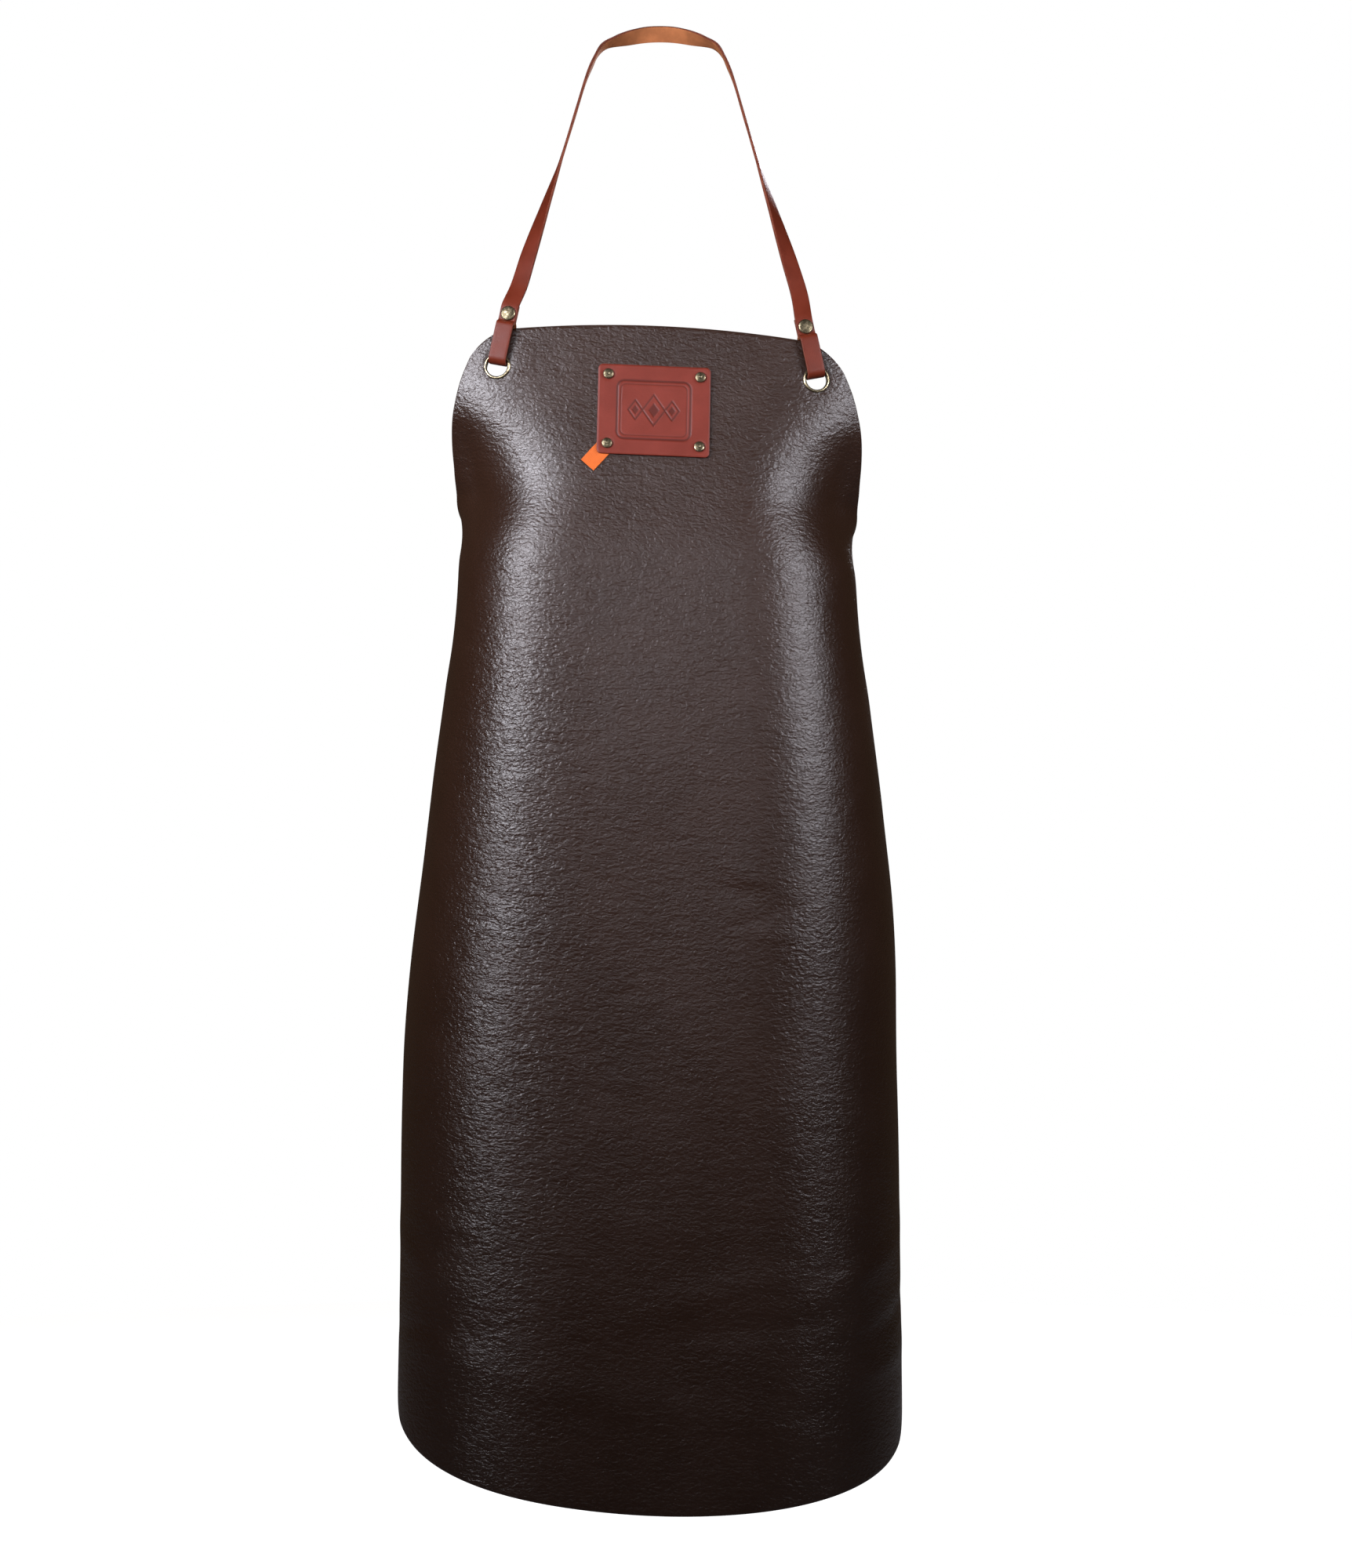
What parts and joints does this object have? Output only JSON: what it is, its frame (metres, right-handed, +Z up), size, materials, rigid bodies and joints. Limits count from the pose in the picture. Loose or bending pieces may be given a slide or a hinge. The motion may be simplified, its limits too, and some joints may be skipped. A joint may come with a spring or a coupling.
{
  "type": "welding apron",
  "caption": "Long leather work apron with a riveted bib patch, brass eyelets, a looped neck strap and a buckled waist strap that draws the sides in.",
  "frame": {"origin": "middle of the neck strap's inner face at the nape, where it rests on the wearer", "axes": "+Z up, -Y is the apron's front, +X is to the right of someone looking at the front"},
  "size_m": [0.439, 0.2585, 1.2891],
  "materials": {
    "hide": "dark brown smooth-grain hide, satin, raw cut edges",
    "strap_leather": "red-brown vegetable-tanned strap, satin, peach raw edges",
    "patch_leather": null,
    "ribbon": "orange grosgrain ribbon",
    "brass": "antique brass, dark in the recesses, rubbed bright on the edges"
  },
  "bodies": {
    "neck": {"neck_strap": "strap_leather", "neck_rivet_left_cap": "brass", "neck_rivet_left_post": "brass", "neck_rivet_right_cap": "brass", "neck_rivet_right_post": "brass"},
    "apron": {"apron_panel": "hide", "badge_patch": "patch_leather", "ribbon_tag": "ribbon", "eyelet_neck_left": "brass", "eyelet_neck_right": "brass", "eyelet_waist_left": "brass", "eyelet_waist_right": "brass", "eyelet_washer_neck_left": "brass", "eyelet_washer_neck_right": "brass", "eyelet_washer_waist_left": "brass", "eyelet_washer_waist_right": "brass", "patch_rivet_upper_left_cap": "brass", "patch_rivet_upper_left_post": "brass", "patch_rivet_upper_right_cap": "brass", "patch_rivet_upper_right_post": "brass", "patch_rivet_lower_left_cap": "brass", "patch_rivet_lower_left_post": "brass", "patch_rivet_lower_right_cap": "brass", "patch_rivet_lower_right_post": "brass"},
    "waist_left": {"waist_strap_left": "strap_leather", "waist_rivet_left_cap": "brass", "waist_rivet_left_post": "brass", "fold_rivet_cap": "brass", "fold_rivet_post": "brass"},
    "waist_right": {"waist_strap_right": "strap_leather", "waist_rivet_right_cap": "brass", "waist_rivet_right_post": "brass"},
    "buckle": {"buckle_frame": "brass"},
    "prong": {"buckle_prong": "brass"},
    "roller": {"buckle_roller": "brass"},
    "keeper": {"keeper_loop": "strap_leather"}
  },
  "joints": [
    {"name": "bib_swing", "type": "hinge", "parent": "neck", "child": "apron", "pos_m": [-0.002, -0.16515, -0.319], "axis": [0.9991, 0, -0.042], "range_deg": [-1.5, 5]},
    {"name": "waist_left_swing", "type": "hinge", "parent": "apron", "child": "waist_left", "pos_m": [-0.16453, -0.06081, -0.47717], "axis": [0.9991, 0, -0.042], "range_deg": [-30, 30]},
    {"name": "waist_right_swing", "type": "hinge", "parent": "apron", "child": "waist_right", "pos_m": [0.16053, -0.06081, -0.49083], "axis": [0.9991, 0, -0.042], "range_deg": [-30, 30]},
    {"name": "buckle_tilt", "type": "hinge", "parent": "waist_left", "child": "buckle", "pos_m": [0.00601, 0.042, -0.48425], "axis": [0.042, 0, 0.9991], "range_deg": [-2, 4]},
    {"name": "prong_lift", "type": "hinge", "parent": "buckle", "child": "prong", "pos_m": [0.00601, 0.042, -0.48425], "axis": [0.042, 0, 0.9991], "range_deg": [0, 14]},
    {"name": "roller_spin", "type": "hinge", "parent": "buckle", "child": "roller", "pos_m": [0.02599, 0.042, -0.48509], "axis": [0.042, 0, 0.9991], "continuous": true},
    {"name": "keeper_slide", "type": "slide", "parent": "waist_left", "child": "keeper", "axis": [0.9991, 0, -0.042], "range_m": [-0.03, 0.008]}
  ],
  "couplings": [
    {"joint": "waist_right_swing", "follows": "waist_left_swing", "ratio": 1}
  ]
}
